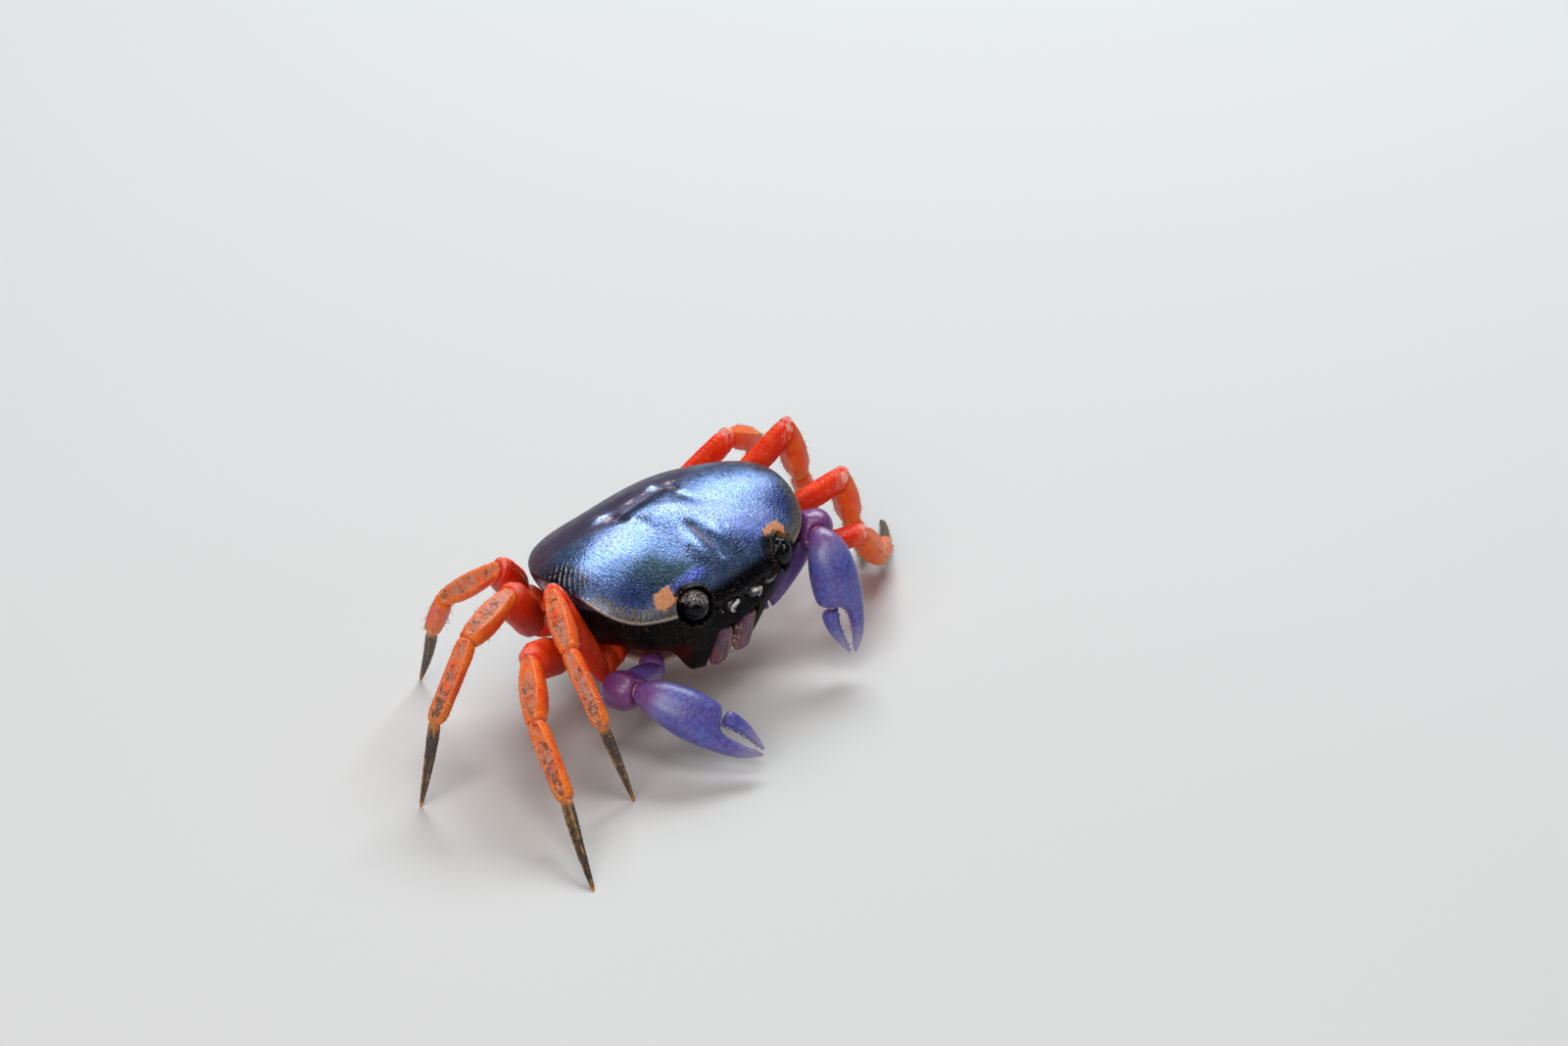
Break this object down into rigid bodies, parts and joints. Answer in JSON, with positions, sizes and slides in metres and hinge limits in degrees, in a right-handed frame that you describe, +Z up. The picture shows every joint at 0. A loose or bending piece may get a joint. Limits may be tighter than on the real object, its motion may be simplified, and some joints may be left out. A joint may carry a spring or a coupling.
{
  "type": "halloween crab model",
  "caption": "Life-size still model of a red-legged, blue-shelled land crab standing on its walking legs with its claws held in front.",
  "frame": {"origin": "middle of the crab's box on the floor it stands on", "axes": "+Z up; the crab faces -Y and its left side is +X"},
  "size_m": [0.1166, 0.06, 0.0311],
  "materials": {
    "shell": "glossy blue-black shell with a blue and violet sheen",
    "leg": "satin red-orange leg shell with dusty tan upper faces",
    "leg_tip": "dark brown ridged horn",
    "claw": "satin violet-blue shell",
    "eye": "glossy black eye",
    "feeler": "pale greyish horn"
  },
  "bodies": {
    "root": {"abdomen": "claw", "antennule_left": "feeler", "antennule_right": "feeler", "carapace": "shell", "claw_left_carpus": "claw", "claw_left_coxa": "claw", "claw_left_finger": "claw", "claw_left_hand": "claw", "claw_left_merus": "claw", "claw_right_carpus": "claw", "claw_right_coxa": "claw", "claw_right_finger": "claw", "claw_right_hand": "claw", "claw_right_merus": "claw", "eye_left": "eye", "eye_right": "eye", "leg_left_2_carpus": "leg", "leg_left_2_coxa": "leg", "leg_left_2_dactyl": "leg_tip", "leg_left_2_merus": "leg", "leg_left_2_propodus": "leg", "leg_left_3_carpus": "leg", "leg_left_3_coxa": "leg", "leg_left_3_dactyl": "leg_tip", "leg_left_3_merus": "leg", "leg_left_3_propodus": "leg", "leg_left_4_carpus": "leg", "leg_left_4_coxa": "leg", "leg_left_4_dactyl": "leg_tip", "leg_left_4_merus": "leg", "leg_left_4_propodus": "leg", "leg_left_5_carpus": "leg", "leg_left_5_coxa": "leg", "leg_left_5_dactyl": "leg_tip", "leg_left_5_merus": "leg", "leg_left_5_propodus": "leg", "leg_right_2_carpus": "leg", "leg_right_2_coxa": "leg", "leg_right_2_dactyl": "leg_tip", "leg_right_2_merus": "leg", "leg_right_2_propodus": "leg", "leg_right_3_carpus": "leg", "leg_right_3_coxa": "leg", "leg_right_3_dactyl": "leg_tip", "leg_right_3_merus": "leg", "leg_right_3_propodus": "leg", "leg_right_4_carpus": "leg", "leg_right_4_coxa": "leg", "leg_right_4_dactyl": "leg_tip", "leg_right_4_merus": "leg", "leg_right_4_propodus": "leg", "leg_right_5_carpus": "leg", "leg_right_5_coxa": "leg", "leg_right_5_dactyl": "leg_tip", "leg_right_5_merus": "leg", "leg_right_5_propodus": "leg", "maxilliped_left": "claw", "maxilliped_right": "claw", "thorax": "claw"}
  },
  "joints": []
}
